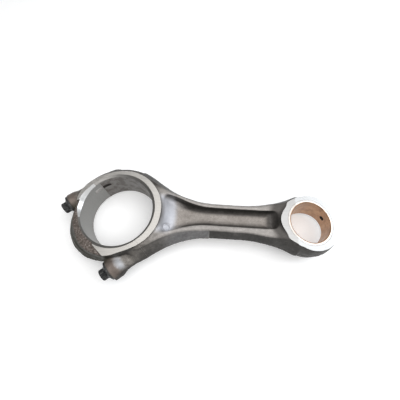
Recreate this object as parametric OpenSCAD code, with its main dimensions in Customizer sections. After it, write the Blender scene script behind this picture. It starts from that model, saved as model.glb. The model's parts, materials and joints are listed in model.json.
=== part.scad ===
// Connecting rod for a medium-duty diesel engine, with an oblique-split big end
// and a keystone small end. Millimetres. The origin is the centre of the big-end
// bore on the mid-plane. +X points to the small end and +Z along both bores.

/* [Bores and widths] */
// Distance between the centres of the two bores
centre_distance = 192; // [180:1:205]
// Diameter of the big-end bore, which takes the bearing shells
big_bore_d = 73; // [70:0.5:74]
// Width over the thrust faces
big_width = 38; // [34:0.5:40]
// Diameter of the hole in the pin bush
pin_bore_d = 40; // [36:0.5:41]
// Wall of the pin bush
bush_wall = 3; // [2:0.25:3.5]
// Slope of each face of the keystone small end, in degrees
keystone_angle = 12; // [8:0.5:13]

/* [Cap joint] */
// Angle between the parting plane and a plane square to the shank
split_angle = 40; // [30:1:45]
// Distance between the two cap bolts
bolt_spacing = 86; // [86:0.5:90]
// Distance from the parting plane to the seats of the bolts
seat_height = 36.5; // [35:0.5:39]
// Nominal thread diameter of the cap bolts
bolt_d = 11; // [10:0.5:11]

/* [Forging] */
// Outer radius of the big end on the mid-plane
big_outer_r = 53; // [52:0.5:54]
// Height of the cap's crown above the bore centre
crown_height = 54.6; // [54:0.2:56]
// Outer radius of the small end on the mid-plane
small_outer_r = 31; // [30:0.5:33]
// Width of the shank at its waist, over the parting line
waist_w = 36; // [34:0.5:38]
// Thickness of the shank at its waist
waist_t = 26; // [24:0.5:28]
// Thickness of the web between the pockets
web_t = 8; // [7:0.5:10]
// Width of the pockets at the waist
pocket_w = 17.4; // [16:0.2:18]

/* [Hidden] */
$fn = 96;
FAR = 400;

// Colours
forged_grey = [0.47, 0.45, 0.43];
cap_grey = [0.42, 0.39, 0.36];
bronze = [0.72, 0.52, 0.36];
black_oxide = [0.09, 0.10, 0.10];

// Bores, faces and edges
big_r = big_bore_d / 2;
big_chamfer = 1.2;
face_z = big_width / 2;
thrust_r = 44;
pin_r = pin_bore_d / 2;
bush_r = pin_r + bush_wall;
oil_hole_d = 4;
oil_hole_angle = 31;

// Big end: a half-round rib runs round the bore
rib_r = 16;
rib_centre_r = big_outer_r - rib_r;

// Small end: a barrel that narrows towards its faces, with a nose along the shank
barrel_mid_z = 11;
barrel_mid_r = small_outer_r - 1.4;
barrel_top_r = small_outer_r - 4.5;
keystone_start = centre_distance - 15;
nose_x = centre_distance - 18;
nose_r = 11;

// Shank: a straight waist with a large radius at each end, in plan and in side view
shank_end = centre_distance - 14;
waist_x1 = 100;
waist_x2 = 125;
side_r1 = 100;
side_r2 = 130;
side_centre = [waist_x1, waist_w / 2 + side_r1];
flank_slope = 0.4;
top_x1 = 105;
top_x2 = 135;
top_r1 = 200;
top_r2 = 90;
shoulder_z = 17.5;

// The flank leaves the big end's outline on a line tangent to it at this angle
join_angle = atan2(side_centre[1], side_centre[0])
    + acos(min(1, (big_outer_r + side_r1) / norm(side_centre)));
shank_start = big_outer_r * cos(join_angle);
join_l = 60;

// Pockets on both sides of the web, with a cove up to the big end
pocket_x1 = 95;
pocket_x2 = centre_distance - 31.5;
pocket_side_r = 88;
pocket_corner_r = 4.5;
pocket_max_w = 40;
cove_r = 13;
cove_start_r = thrust_r + 1;

// Cap joint
bolt_y = bolt_spacing / 2;
cap_dir = 180 + split_angle;
boss_r = 9.6;
upper_tip_r = 9.2;
lower_tip_r = 8;
ear_r = 11;
ear_flare_start = 22;
ear_flare_end = 32;
upper_boss_l = 19.5;
lower_boss_l = 27;
thread_hole_l = 24.5;
bolt_hole_d = bolt_d + 0.4;

// Cap crown: a bow of smaller radius than the rod's side. Its rough top lies below
// the thrust faces, between two angles about the cap's own axis. A wide chamfer
// breaks the upper inner corner beside it.
crown_z = face_z - 1.5;
crown_r = 38;
crown_centre = crown_height - crown_r;
crown_from = -50;
crown_to = 28;
relief_from = -83;
relief_to = -20;
relief_w = 3;

// Bearing tang slots, one on each side of the upper parting line
tang_w = 5;
tang_depth = 1.6;
tang_l = 9;
tang_z = 7;

// Bolt
flange_d = 20;
flange_rim = 2;
flange_t = 4;
head_af = 10.2;
head_h = 6;
bolt_below = 23;
relief_d = bolt_d - 1.6;
thread_l = 20;

// Places its children in the frame of the cap joint, with +X out through the cap
module in_joint_frame() {
    rotate([0, 0, cap_dir]) children();
}

// Keeps what lies on one side of the parting plane: side is 1 for the cap, -1 for the rod
module joint_side(side) {
    in_joint_frame() translate([side > 0 ? 0 : -FAR, -FAR / 2, -FAR / 2]) cube(FAR);
}

// Disc whose flat ends are the machined thrust faces
module thrust_ring() {
    cylinder(h = big_width, r = thrust_r, center = true);
}

// Half-round rib round the rod's side of the big end
module rib() {
    rotate_extrude() intersection() {
        translate([rib_centre_r, 0]) circle(r = rib_r);
        translate([0, -rib_r]) square([big_outer_r, 2 * rib_r]);
    }
}

// Ear of the cap for one bolt, wider towards the seat
module cap_ear(side) {
    at_bolt(side) {
        cylinder(h = ear_flare_end, r = boss_r);
        translate([0, 0, ear_flare_start])
            cylinder(h = ear_flare_end - ear_flare_start, r1 = boss_r, r2 = ear_r);
        translate([0, 0, ear_flare_end]) cylinder(h = seat_height - ear_flare_end, r = ear_r);
    }
}

// Crown of the cap before machining: a bow with a round rim, centred on the cap's axis
module crown() {
    in_joint_frame() translate([crown_centre, 0, 0]) rotate_extrude() {
        translate([0, -crown_z]) square([crown_r - crown_z, 2 * crown_z]);
        intersection() {
            translate([crown_r - crown_z, 0]) circle(r = crown_z);
            translate([0, -crown_z]) square([crown_r, 2 * crown_z]);
        }
    }
}

// Everything the big-end bore takes away, with its edge chamfers
module big_bore_cut() {
    cylinder(h = big_width + 2, r = big_r, center = true);
    for (m = [0, 1]) mirror([0, 0, m])
        translate([0, 0, face_z - big_chamfer])
            cylinder(h = big_chamfer + 0.1, r1 = big_r, r2 = big_r + big_chamfer + 0.1);
}

// One bolt's place: side is 1 for the upper bolt and -1 for the lower one
module at_bolt(side) {
    in_joint_frame() translate([0, -side * bolt_y, 0]) rotate([0, 90, 0]) children();
}

// Milled slot for a bearing tang, on one side of the parting plane
module tang_slot(side) {
    intersection() {
        joint_side(side);
        in_joint_frame() translate([side * tang_l / 2, -big_r, tang_z])
            cube([tang_l, 2 * tang_depth, tang_w], center = true);
    }
}

// Both faces of the keystone small end, as the space outside them
module keystone_cut() {
    for (m = [0, 1]) mirror([0, 0, m])
        translate([keystone_start, -FAR / 2, face_z]) rotate([0, keystone_angle, 0])
            translate([-1, 0, 0]) cube([FAR, FAR, FAR / 2]);
}

// Radial slice of the plane between two angles about the cap's axis
module sector(from, to) {
    in_joint_frame() translate([0, 0, -FAR / 2]) linear_extrude(FAR)
        polygon([[0, 0], for (a = [from, (from + to) / 2, to]) FAR * [cos(a), sin(a)]]);
}

// Disc with sloping rims that leaves one sloping flank on the shank
module flank_disc(r, x, low_x, high_x) {
    rim = r + flank_slope * face_z;
    intersection() {
        translate([x, waist_w / 2 + r, 0]) rotate_extrude($fn = 128)
            polygon([[0, -face_z], [rim, -face_z], [r, 0], [rim, face_z], [0, face_z]]);
        translate([low_x, 0, -face_z]) cube([high_x - low_x, FAR, big_width]);
    }
}

// Bar along +X with a sloping underside that leaves a straight length of flank
module flank_bar(length) {
    low = -flank_slope * face_z;
    rotate([90, 0, 90]) linear_extrude(length)
        polygon([[low, -face_z], [FAR, -face_z], [FAR, face_z], [low, face_z], [0, 0]]);
}

// Side view of the shank: thin at the waist and thicker towards both ends
module side_view() {
    difference() {
        union() {
            translate([shank_start, -shoulder_z])
                square([shank_end - shank_start, 2 * shoulder_z]);
            translate([top_x2, -face_z]) square([shank_end - top_x2, big_width]);
        }
        for (s = [-1, 1]) {
            intersection() {
                translate([top_x1, s * (waist_t / 2 + top_r1)]) circle(r = top_r1, $fn = 180);
                translate([shank_start - 1, -FAR]) square([top_x1 - shank_start + 1, 2 * FAR]);
            }
            intersection() {
                translate([top_x2, s * (waist_t / 2 + top_r2)]) circle(r = top_r2, $fn = 180);
                translate([top_x2, -FAR]) square([FAR, 2 * FAR]);
            }
            translate([top_x1, s > 0 ? waist_t / 2 : -FAR - waist_t / 2])
                square([top_x2 - top_x1, FAR]);
        }
    }
}

// Shank without its pockets
module shank() {
    difference() {
        translate([0, FAR / 8, 0]) rotate([90, 0, 0]) linear_extrude(FAR / 4) side_view();
        for (m = [0, 1]) mirror([0, m, 0]) {
            flank_disc(side_r1, waist_x1, -FAR, waist_x1);
            flank_disc(side_r2, waist_x2, waist_x2, FAR);
            translate([waist_x1, waist_w / 2, 0]) flank_bar(waist_x2 - waist_x1);
            translate(side_centre) rotate([0, 0, join_angle - 90])
                translate([-join_l, -side_r1, 0]) flank_bar(join_l);
        }
    }
}

// Outline of a pocket, which widens towards the big end
module pocket_outline() {
    half_w = pocket_w / 2;
    for (m = [0, 1]) mirror([0, m]) difference() {
        square([pocket_x1, FAR / 4]);
        translate([pocket_x1, half_w + pocket_side_r]) circle(r = pocket_side_r, $fn = 180);
    }
    translate([pocket_x1, -half_w])
        square([pocket_x2 - pocket_corner_r - pocket_x1, pocket_w]);
    translate([pocket_x2 - pocket_corner_r, pocket_corner_r - half_w])
        square([pocket_corner_r, pocket_w - 2 * pocket_corner_r]);
    for (s = [-1, 1])
        translate([pocket_x2 - pocket_corner_r, s * (half_w - pocket_corner_r)])
            circle(r = pocket_corner_r);
}

// Pocket on one side of the web: side is 1 for the +Z side
module pocket(side) {
    mirror([0, 0, side > 0 ? 0 : 1]) difference() {
        translate([0, 0, web_t / 2]) linear_extrude(face_z) intersection() {
            pocket_outline();
            translate([0, -pocket_max_w / 2]) square([centre_distance, pocket_max_w]);
        }
        translate([0, 0, -1]) cylinder(h = FAR, r = cove_start_r);
        rotate_extrude() difference() {
            square([cove_start_r + cove_r, web_t / 2 + cove_r]);
            translate([cove_start_r + cove_r, web_t / 2 + cove_r]) circle(r = cove_r);
        }
    }
}

// Small end before machining: a barrel and the nose along the shank
module small_barrel() {
    translate([centre_distance, 0, 0]) rotate_extrude() polygon([
        [0, -face_z], [barrel_top_r, -face_z], [barrel_mid_r, -barrel_mid_z], [small_outer_r, 0],
        [barrel_mid_r, barrel_mid_z], [barrel_top_r, face_z], [0, face_z]
    ]);
    translate([nose_x, 0, 0]) cylinder(h = big_width, r = nose_r, center = true);
}

// Oil hole through the wall of the small end and through the bush
module oil_hole() {
    translate([centre_distance, 0, 0]) rotate([0, 90, oil_hole_angle])
        cylinder(h = FAR, d = oil_hole_d);
}

// Threaded boss of the rod for one bolt, with a round end
module rod_boss(side) {
    length = side > 0 ? upper_boss_l : lower_boss_l;
    tip_r = side > 0 ? upper_tip_r : lower_tip_r;
    at_bolt(side) {
        translate([0, 0, -length]) cylinder(h = length, r1 = tip_r, r2 = boss_r);
        translate([0, 0, -length]) sphere(r = tip_r);
    }
}

// Rod body: big-end half, shank and small end
module rod_body() {
    color(forged_grey) difference() {
        union() {
            thrust_ring();
            rib();
            for (side = [-1, 1]) rod_boss(side);
            difference() {
                shank();
                for (side = [-1, 1]) pocket(side);
            }
            small_barrel();
        }
        joint_side(1);
        big_bore_cut();
        translate([centre_distance, 0, 0]) cylinder(h = big_width + 2, r = bush_r, center = true);
        keystone_cut();
        oil_hole();
        tang_slot(-1);
        for (side = [-1, 1]) at_bolt(side) translate([0, 0, -thread_hole_l])
            cylinder(h = thread_hole_l + 1, d = bolt_d);
    }
}

// Rod cap: other big-end half with an ear for each bolt
module rod_cap() {
    color(cap_grey) difference() {
        union() {
            thrust_ring();
            crown();
            for (side = [-1, 1]) cap_ear(side);
        }
        joint_side(-1);
        big_bore_cut();
        tang_slot(1);
        for (m = [0, 1]) mirror([0, 0, m]) intersection() {
            sector(crown_from, crown_to);
            translate([0, 0, crown_z]) cylinder(h = FAR, r = FAR);
        }
        intersection() {
            sector(relief_from, relief_to);
            translate([0, 0, face_z - relief_w - 0.5])
                cylinder(h = relief_w + 0.6, r1 = big_r - 0.5, r2 = big_r + relief_w + 0.1);
        }
        for (side = [-1, 1]) at_bolt(side) {
            translate([0, 0, -1]) cylinder(h = seat_height + 2, d = bolt_hole_d);
            translate([0, 0, seat_height]) cylinder(h = FAR, d = flange_d + 2);
        }
    }
}

// Pin bush: bronze sleeve with faces that follow the keystone
module pin_bush() {
    color(bronze) difference() {
        translate([centre_distance, 0, 0]) cylinder(h = big_width, r = bush_r, center = true);
        translate([centre_distance, 0, 0]) cylinder(h = big_width + 2, r = pin_r, center = true);
        keystone_cut();
        oil_hole();
    }
}

// Cap bolt: twelve-point head with a flange, a waisted shank and a threaded end
module cap_bolt(side) {
    at_bolt(side) {
        translate([0, 0, seat_height]) cylinder(h = flange_rim, d = flange_d);
        translate([0, 0, seat_height + flange_rim])
            cylinder(h = flange_t - flange_rim, d1 = flange_d, d2 = head_af);
        for (turn = [0, 30]) rotate([0, 0, turn]) translate([0, 0, seat_height])
            cylinder(h = flange_t + head_h, r = head_af / 2 / cos(30), $fn = 6);
        translate([0, 0, -bolt_below]) cylinder(h = thread_l, d = bolt_d);
        translate([0, 0, -bolt_below]) cylinder(h = seat_height + bolt_below, d = relief_d);
    }
}

module bolt_upper() {
    color(black_oxide) cap_bolt(1);
}

module bolt_lower() {
    color(black_oxide) cap_bolt(-1);
}

rod_body();
rod_cap();
pin_bush();
bolt_upper();
bolt_lower();
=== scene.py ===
import json
import math
from types import SimpleNamespace

import bmesh
import bpy
import numpy as np
from mathutils import Matrix, Vector


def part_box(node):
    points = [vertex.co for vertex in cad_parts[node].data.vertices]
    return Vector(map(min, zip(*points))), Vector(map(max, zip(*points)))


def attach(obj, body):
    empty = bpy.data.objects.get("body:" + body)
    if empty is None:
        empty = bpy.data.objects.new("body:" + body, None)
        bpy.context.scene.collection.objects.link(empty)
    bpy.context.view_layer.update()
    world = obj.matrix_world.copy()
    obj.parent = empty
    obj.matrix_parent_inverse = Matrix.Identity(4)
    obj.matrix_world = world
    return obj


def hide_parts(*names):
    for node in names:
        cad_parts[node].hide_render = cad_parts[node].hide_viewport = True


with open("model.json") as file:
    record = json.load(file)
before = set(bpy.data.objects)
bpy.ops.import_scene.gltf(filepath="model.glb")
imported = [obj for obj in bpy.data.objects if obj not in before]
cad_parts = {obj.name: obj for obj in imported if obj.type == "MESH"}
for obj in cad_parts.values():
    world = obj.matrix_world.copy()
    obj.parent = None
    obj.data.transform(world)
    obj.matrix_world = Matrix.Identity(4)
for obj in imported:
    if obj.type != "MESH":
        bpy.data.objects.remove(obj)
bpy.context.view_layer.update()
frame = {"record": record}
record = frame["record"]

# ---------------------------------------------------------------- sizes from the frame
mounts = {m["name"]: m for m in record["mounts"]}
MM = 1000.0
BIG_R = mounts["big_end_bore"]["dims"]["r_mm"]
PIN_R = mounts["small_end_bore"]["dims"]["r_mm"]
CENTRE = mounts["small_end_bore"]["pos_m"][0] * MM
rod_lo, rod_hi = (np.array(c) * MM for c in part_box("rod_body"))
bush_lo, bush_hi = (np.array(c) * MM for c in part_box("pin_bush"))
FACE_Z = rod_hi[2]
BUSH_R = (bush_hi[1] - bush_lo[1]) / 2
# The floor lies a hair under the part
FLOOR_Z = rod_lo[2] - 0.03

# Design values that the CAD model has too, but the frame doesn't hold
SPLIT = math.radians(40)
KEYSTONE = math.radians(12)
KEY_X = CENTRE - 15
BOLT_Y = 43.0
SEAT = 36.5
BOLT_D = 11.0
RIB_R = 16.0
WEB_T = 8.0
OIL_R = 2.0
OIL_ANGLE = math.radians(31)
TANG_DEPTH = 1.6
TANG_L = 9.0
TANG_W = 5.0
TANG_Z = 7.0

# Gap on each side of the parting plane, and the rib's outer radius, which leaves room for the flash
SEAM = 0.05
RIB_OUT = 52.7

# Where the flash has its step and the shank's lower side changes tone, along X
STEP_X = 93.9

# Steps round a turned surface, and the grid of the forgings' fields
SEG = 224
GRID = 0.75

# Directions of the cap joint: EC points out through the cap, EP lies along the parting line
cap_a = math.pi + SPLIT
EC = np.array([math.cos(cap_a), math.sin(cap_a)])
EP = np.array([-math.sin(cap_a), math.cos(cap_a)])


# ---------------------------------------------------------------- distance field tools
def join(a, b, r):
    """Union of two fields with a round fillet of radius r between them."""
    return np.maximum(r, np.minimum(a, b)) - np.hypot(np.maximum(r - a, 0), np.maximum(r - b, 0))


def meet(a, b, r):
    """Intersection of two fields with its edge rounded to radius r."""
    return np.minimum(-r, np.maximum(a, b)) + np.hypot(np.maximum(r + a, 0), np.maximum(r + b, 0))


def smoothstep(x, lo, hi):
    t = np.clip((x - lo) / (hi - lo), 0, 1)
    return t * t * (3 - 2 * t)


def capsule(x, y, z, start, end, r1, r2, flat=1.0):
    """Round-ended bar in the mid-plane, with a radius at each end; flat squashes it in height."""
    a = np.array(start)
    d = np.array(end) - a
    length = np.hypot(*d)
    t = np.clip(((x - a[0]) * d[0] + (y - a[1]) * d[1]) / length ** 2, 0, 1)
    off = np.sqrt((x - a[0] - t * d[0]) ** 2 + (y - a[1] - t * d[1]) ** 2 + (z * flat) ** 2)
    return off - (r1 + (r2 - r1) * t)


def arc_rise(d, r):
    """How far an arc of radius r has left its tangent after the distance d, and how steep it is there."""
    root = np.sqrt(r * r - d * d)
    return r - root, d / root


def undulation(x, y, z):
    """Slow unevenness that a die-forged surface keeps, about a tenth of a millimetre."""
    return 0.07 * (np.sin(x * 0.31 + 1.3) * np.cos(y * 0.27 + 0.4) + np.sin(x * 0.13 - y * 0.41 + 2.0)
                   * np.cos(z * 0.35) + 0.6 * np.sin(y * 0.67 + x * 0.55 + 0.8))


def flash_line(x, y, z):
    """Trimmed flash where the two forging dies met: ragged, with one step on the lower side."""
    ragged = 0.34 + 0.10 * np.sin(x * 1.15 + 0.6 * y) * np.sin(x * 0.37 + 1.0) + 0.06 * np.sin(x * 2.3 + y)
    step = 0.6 * smoothstep(x, 85, STEP_X - 0.2) * smoothstep(STEP_X + 0.3 - x, 0, 0.6) * (y < 0)
    return (ragged + step) * np.exp(-(z / 0.95) ** 2)


# ---------------------------------------------------------------- the two forgings
# Half width of the shank at its waist, where the waist begins and ends, and the radii beside it
WAIST = 18.0
WAIST_X1 = 100.0
WAIST_X2 = 125.0
SIDE_R1 = 100.0
SIDE_R2 = 130.0
# The outline runs straight from here to the big end: place, slope and half width
STRAIGHT_X = 47.3
STRAIGHT_SLOPE = 0.62
STRAIGHT_W = 33.0
# Height of the flanges at the waist and at the big end
FLANGE = 13.0
FLANGE_BIG = 17.2
FLANGE_X1 = 105.0
FLANGE_X2 = 143.0
FLANGE_R1 = 200.0
FLANGE_R2 = 60.0
# Pocket: half width at the waist, where it starts to widen, its ends and its shift off the centre line
POCKET_HALF = 9.3
POCKET_X = 95.0
POCKET_R = 80.0
POCKET_FROM = 42.8
POCKET_TO = 161.6
POCKET_SHIFT = 0.7
POCKET_MAX = 20.5


def half_width(x):
    """Half width of the shank on the mid-plane, and how steep its outline is."""
    w1, slope1 = arc_rise(np.clip(WAIST_X1 - x, 0, 95), SIDE_R1)
    w2, slope2 = arc_rise(np.clip(x - WAIST_X2, 0, 120), SIDE_R2)
    line = STRAIGHT_W + (STRAIGHT_X - x) * STRAIGHT_SLOPE
    straight = x < STRAIGHT_X
    return np.where(straight, line, WAIST + w1 + w2), np.where(straight, STRAIGHT_SLOPE, slope1 + slope2)


def flange_top(x):
    """Height of the flanges over the mid-plane."""
    h1, _ = arc_rise(np.clip(FLANGE_X1 - x, 0, 100), FLANGE_R1)
    h2, _ = arc_rise(np.clip(x - FLANGE_X2, 0, 32), FLANGE_R2)
    h = FLANGE + h1 + h2
    return np.where(x < 90, np.minimum(h, FLANGE_BIG), h)


def pocket(x, y, az, h):
    """Pocket beside the web, whose walls lean outwards and meet the web in a wide fillet."""
    py = np.abs(y - POCKET_SHIFT)
    widening, steep = arc_rise(np.clip(POCKET_X - x, 0, 60), POCKET_R)
    wall = (py - POCKET_HALF - widening) / np.sqrt(1 + steep ** 2)
    wall = meet(wall, (x - POCKET_TO + 0.6 * (h - az)) * 0.857, 4.8)
    wall = meet(wall, POCKET_FROM - x, 10.0)
    wall = meet(wall, py - POCKET_MAX, 6.0) + 0.17 * (h - az)
    # the floor is the web, with a ramp up to the big end and an ejector mark at the ramp's lower corner
    s = np.hypot(x + 30, y) - 30
    ground = join((s - 44.8) * 0.819 + (az - 16.5) * 0.574, az - WEB_T / 2, 11.0)
    mark = np.hypot(x - 51.4, y + 12.4)
    ground = ground + 1.05 * np.exp(-((mark - 3.3) / 0.7) ** 2) - 0.6 * smoothstep(2.7 - mark, 0, 0.9)
    return meet(wall, -ground, 6.8)


def shank(x, y, z):
    """Shank with sloping flanks, flanges of changing height and a pocket on each side of the web."""
    az = np.abs(z)
    w, steep = half_width(x)
    lean = 0.41 + 0.14 * smoothstep(66 - x, 0, 22)
    bulge = 0.84 * np.clip(az / 13, 0, 1) * np.clip(1 - az / 15, 0, 1)
    side = np.abs(y) - (w - lean * np.sqrt(az * az + 4) + lean * 2 + bulge)
    h = flange_top(x)
    body = meet(side / np.sqrt(1 + lean ** 2 + steep ** 2), (az - h) * 0.985, 1.6)
    body = meet(body, x - (CENTRE - 12), 1.0)
    body = meet(body, 20.0 - x, 1.0)
    return meet(body, -pocket(x, y, az, h), 1.05 + 2.0 * smoothstep(52 - x, 0, 6))


def ring_edge(angle):
    """Outer radius of the thrust face, which changes round the big end; angle is in degrees from X."""
    r = 44.2 + 1.0 * np.exp(-((angle - 5) / 40) ** 2) - 1.3 * np.exp(-((angle + 60) / 26) ** 2)
    r = r - 2.0 * np.exp(-((angle - 112) / 30) ** 2)
    r = r - 2.6 * np.exp(-(((angle + 320) % 360 - 180 + 42) / 16) ** 2)
    return r + 2.6 * smoothstep(-angle, 72, 96) * smoothstep(angle, -150, -122)


def big_ring(x, y, z, top, out_r):
    """Rod's side of the big end: a half-round rib round a disc that is machined on both faces."""
    az = np.abs(z)
    r = np.hypot(x, y)
    rib = np.hypot(np.maximum(r - (RIB_OUT - RIB_R), 0), z) - RIB_R
    disc = meet((r - (out_r + 0.12 * (FACE_Z - az))) * 0.99, (az - top) * 0.9, 1.1)
    return join(rib, disc, 3.0)


def bolt_line(side, ec):
    """Point on a bolt's axis: side 1 is the upper bolt, and ec is the height over the parting plane."""
    return EC * ec - EP * side * BOLT_Y


# Radius and height squash of the bolt bosses at the parting plane, upper (1) and lower (-1)
BOSS = {1: (9.0, 1.08), -1: (9.7, 1.23)}


def rod_field(x, y, z):
    """Rod body as forged, cut off just past the parting plane."""
    angle = np.degrees(np.arctan2(y, x))
    f = big_ring(x, y, z, 21.0, ring_edge(angle))
    f = join(f, shank(x, y, z), 3.0)
    for side, far, tip in ((1, -19.5, 7.9), (-1, -27, 8.0)):
        root, flat = BOSS[side]
        f = join(f, capsule(x, y, z, bolt_line(side, 0), bolt_line(side, far), root, tip, flat), 3.5)
    rs = np.hypot(x - CENTRE, y)
    barrel = (rs - (30.55 - z * z / 84)) * 0.97
    barrel = meet(barrel, np.abs(z) - 23, 0.5)
    nose = np.hypot(x - (CENTRE - 18), y) - (11.2 + 0.16 * (FACE_Z - np.abs(z)))
    nose = meet(nose, np.abs(z) - 22, 0.5)
    f = join(f, join(barrel, nose, 5.0), 3.2)
    f = f - flash_line(x, y, z) + undulation(x, y, z)
    return np.maximum(f, x * EC[0] + y * EC[1] - 2.5)


# Wide chamfer on the crown's upper inner corner, in degrees from the cap's axis
LEDGE_FROM = -83.0
LEDGE_TO = -15.0
# Height to which the cap's forging stands before its faces are machined
ROUGH_TOP = 21.5


def ledge_line(deg):
    """The ledge is a cone, z = r - this number; it widens at its start and runs out at its end."""
    out = 1.2 * smoothstep(deg, -78, -57) + 0.6 * smoothstep(deg, -58, -50)
    return 19.9 + out - 3.3 * smoothstep(deg, -42, -14)


def cap_field(x, y, z):
    """Cap as forged, cut off just past the parting plane."""
    az = np.abs(z)
    ec = x * EC[0] + y * EC[1]
    ep = x * EP[0] + y * EP[1]
    # the forging stands high enough to be machined, except along the crown between two straight borders
    lower = ec + 0.177 * (ep - 18.6) - 35.0 + 0.6 * np.clip(18.6 - ep, 0, 40)
    low = smoothstep(ep, -32.8, -31.2) * smoothstep(lower, -0.4, 1.0)
    top = ROUGH_TOP - 3.5 * low
    r = np.hypot(x, y)
    edge = ring_edge(np.degrees(np.arctan2(y, x)))
    disc = meet((r - (edge + 0.12 * (FACE_Z - az))) * 0.99, (az - top) * 0.9, 1.1)
    # the crown's side leans out to the mid-plane, and its top is a flat band with a definite edge
    t = (np.sqrt(z * z + 2.25) - 1.5) / 13.6
    bow = (np.hypot(ec - (14.6 - 5.6 * t), ep + 1.2 - 2.2 * t) - (40.0 - 4.0 * t)) * 0.85
    bow = bow - 0.45 * np.exp(-((az - 6.5) / 1.1) ** 2)
    bow = meet(bow, az - 14.0, 0.9)
    rib = np.hypot(np.maximum(r - (RIB_OUT - RIB_R), 0), z) - RIB_R
    rib = meet(rib, ec - 14.0, 6.0)
    f = join(join(disc, bow, 2.0), rib, 3.0)
    # the rod's outline carries on a little way over the parting plane
    f = join(f, meet(shank(x, y, z), ec - 8, 6.5), 3.0)
    for side, tip, far, start in ((1, 10.7, 0.0, 22), (-1, 11.7, 0.4, 20.5)):
        root, flat = BOSS[side]
        flare = smoothstep(ec, start, start + 9)
        squash = flat + (1 - flat) * flare
        off = np.hypot(ep + side * (BOLT_Y + far * flare), z * squash)
        ear = meet(off - (root + (tip - root) * flare), ec - (SEAT + 0.6), 1.6)
        ear = meet(ear, -6 - ec, 1.0)
        f = join(f, ear, 3.5)
    f = f - flash_line(x, y, z) + undulation(x, y, z)
    return np.maximum(f, -2.5 - ec)


# ---------------------------------------------------------------- field to mesh
def sample_grid(field, lo, hi, step):
    """A field's values on a grid that mirrors about the mid-plane, and the grid's planes on each axis."""
    xs = np.arange(lo[0], hi[0] + step, step)
    ys = np.arange(lo[1], hi[1] + step, step)
    zs = (np.arange(math.ceil(hi[2] / step) + 1) + 0.5) * step
    grid = np.empty((len(xs), len(ys), len(zs)), np.float32)
    rows = 24
    for i in range(0, len(xs), rows):
        gx, gy, gz = np.meshgrid(xs[i:i + rows], ys, zs, indexing="ij")
        grid[i:i + rows] = field(gx, gy, gz)
    return np.concatenate([grid[:, :, ::-1], grid], axis=2), (xs, ys, np.concatenate([-zs[::-1], zs]))


def net_vertices(grid, cells):
    """A vertex for each cell, in cell units: the mean of the crossings on the cell's edges."""
    total = np.zeros((len(cells), 3))
    count = np.zeros(len(cells))
    corners = [(a, b, c) for a in (0, 1) for b in (0, 1) for c in (0, 1)]
    value = {c: grid[tuple((cells + c).T)].astype(float) for c in corners}
    for c in corners:
        for axis in range(3):
            if c[axis]:
                continue
            d = list(c)
            d[axis] = 1
            v0, v1 = value[c], value[tuple(d)]
            hit = (v0 < 0) != (v1 < 0)
            point = np.tile(np.array(c, float), (len(cells), 1))
            point[:, axis] = np.where(hit, v0 / np.where(hit, v0 - v1, 1), 0)
            total += point * hit[:, None]
            count += hit
    return cells + total / count[:, None]


def net_quads(inside, index):
    """A quad for each grid edge that the surface crosses, turned to face out."""
    n = index.shape
    quads = []
    for axis in range(3):
        near = [slice(None)] * 3
        far = [slice(None)] * 3
        near[axis] = slice(0, -1)
        far[axis] = slice(1, None)
        edge = np.argwhere(inside[tuple(near)] != inside[tuple(far)])
        u, v = (axis + 1) % 3, (axis + 2) % 3
        edge = edge[(edge[:, u] > 0) & (edge[:, v] > 0) & (edge[:, u] < n[u]) & (edge[:, v] < n[v])]
        ring = []
        for du, dv in ((1, 1), (0, 1), (0, 0), (1, 0)):
            cell = edge.copy()
            cell[:, u] -= du
            cell[:, v] -= dv
            ring.append(index[tuple(cell.T)])
        ring = np.stack(ring, 1)
        flip = inside[tuple(far)][tuple(edge.T)]
        ring[flip] = ring[flip][:, ::-1]
        quads.append(ring)
    return np.concatenate(quads)


def slide_to_surface(field, verts, step):
    """Two Newton steps that bring each vertex on to the surface itself."""
    eps = 0.02
    for _ in range(2):
        x, y, z = verts.T
        grad = np.stack([field(x + eps, y, z) - field(x - eps, y, z),
                         field(x, y + eps, z) - field(x, y - eps, z),
                         field(x, y, z + eps) - field(x, y, z - eps)], 1) / (2 * eps)
        move = grad * (field(x, y, z) / np.maximum((grad ** 2).sum(1), 0.3))[:, None]
        size = np.linalg.norm(move, axis=1)
        move *= np.minimum(1, 0.45 * step / np.maximum(size, 1e-9))[:, None]
        verts = verts - move
    return verts


def field_mesh(field, lo, hi, step):
    """Surface nets: one vertex in each cell that the surface crosses, joined by quads."""
    grid, planes = sample_grid(field, lo, hi, step)
    inside = grid < 0
    n = [s - 1 for s in grid.shape]
    corners_in = np.zeros(n, np.int8)
    for dx in (0, 1):
        for dy in (0, 1):
            for dz in (0, 1):
                corners_in += inside[dx:dx + n[0], dy:dy + n[1], dz:dz + n[2]]
    cells = np.argwhere((corners_in > 0) & (corners_in < 8))
    index = np.full(n, -1, np.int64)
    index[tuple(cells.T)] = np.arange(len(cells))
    verts = net_vertices(grid, cells) * step + [p[0] for p in planes]
    return slide_to_surface(field, verts, step), net_quads(inside, index)


# ---------------------------------------------------------------- Blender objects
def add_object(name, mesh):
    obj = bpy.data.objects.new(name, mesh)
    bpy.context.scene.collection.objects.link(obj)
    return obj


def mm(name, verts, faces):
    """Mesh object from corners in millimetres."""
    mesh = bpy.data.meshes.new(name)
    verts = np.asarray(verts, float) / MM
    if isinstance(faces, np.ndarray):
        k = faces.shape[1]
        mesh.vertices.add(len(verts))
        mesh.vertices.foreach_set("co", verts.ravel())
        mesh.loops.add(faces.size)
        mesh.loops.foreach_set("vertex_index", faces.ravel().astype(np.int32))
        mesh.polygons.add(len(faces))
        mesh.polygons.foreach_set("loop_start", np.arange(0, faces.size, k, dtype=np.int32))
        mesh.update(calc_edges=True)
    else:
        mesh.from_pydata([tuple(v) for v in verts], [], faces)
    mesh.validate()
    return add_object(name, mesh)


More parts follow.
